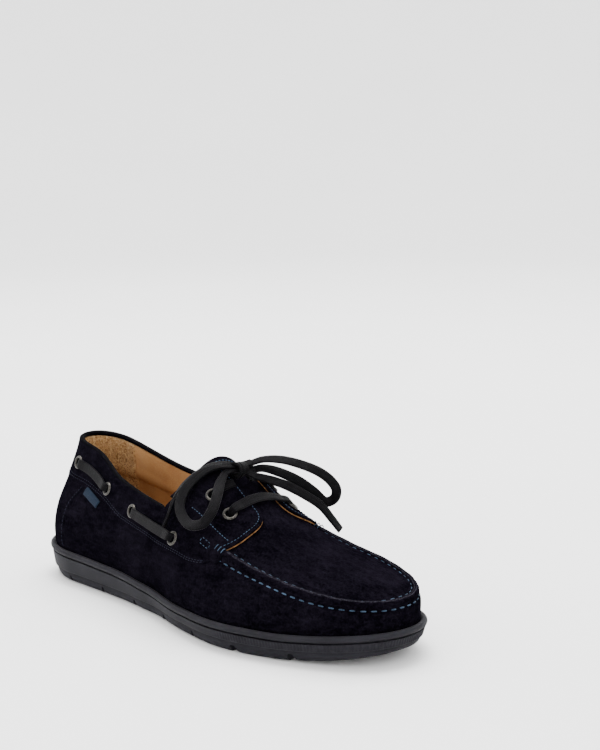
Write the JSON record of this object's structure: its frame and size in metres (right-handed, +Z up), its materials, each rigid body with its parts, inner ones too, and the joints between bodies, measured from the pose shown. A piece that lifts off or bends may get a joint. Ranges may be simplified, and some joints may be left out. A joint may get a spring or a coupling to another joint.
{
  "type": "boat shoe",
  "caption": "Low right-foot boat shoe: hollow suede moccasin upper on a rubber cup sole, with collar lacing, tongue, insole and a tied lace bow.",
  "frame": {"origin": "middle of the sole's box, on the ground", "axes": "+X towards the toe, +Y towards the medial side, +Z up"},
  "size_m": [0.3, 0.109, 0.0931],
  "materials": {
    "sole_rubber": "matt moulded rubber",
    "navy_suede": "napped suede",
    "tan_leather": "smooth lining leather",
    "tan_terry": "looped terry",
    "eyelet_nickel": "bright nickel",
    "lace_flat": "waxed flat lace",
    "blue_thread": "twisted thread",
    "tab_weave": "woven ribbon"
  },
  "bodies": {
    "root": {"outsole": "sole_rubber", "insole": "tan_leather", "upper": "navy_suede", "tongue": "navy_suede", "woven_tab": "tab_weave", "eyelet_collar_lateral_1": "eyelet_nickel", "eyelet_collar_lateral_2": "eyelet_nickel", "eyelet_collar_lateral_3": "eyelet_nickel", "eyelet_collar_lateral_4": "eyelet_nickel", "lace_bar_lateral_rear": "lace_flat", "lace_bar_lateral_front": "lace_flat", "eyelet_flap_lateral_rear": "eyelet_nickel", "eyelet_flap_lateral_front": "eyelet_nickel", "lace_strand_lateral": "lace_flat", "eyelet_collar_medial_1": "eyelet_nickel", "eyelet_collar_medial_2": "eyelet_nickel", "eyelet_collar_medial_3": "eyelet_nickel", "eyelet_collar_medial_4": "eyelet_nickel", "lace_bar_medial_rear": "lace_flat", "lace_bar_medial_front": "lace_flat", "eyelet_flap_medial_rear": "eyelet_nickel", "eyelet_flap_medial_front": "eyelet_nickel", "lace_strand_medial": "lace_flat", "lace_bar_front": "lace_flat", "lace_knot": "lace_flat", "lace_loop_left": "lace_flat", "lace_loop_right": "lace_flat", "lace_end_right": "lace_flat", "lace_end_left": "lace_flat"}
  },
  "joints": []
}
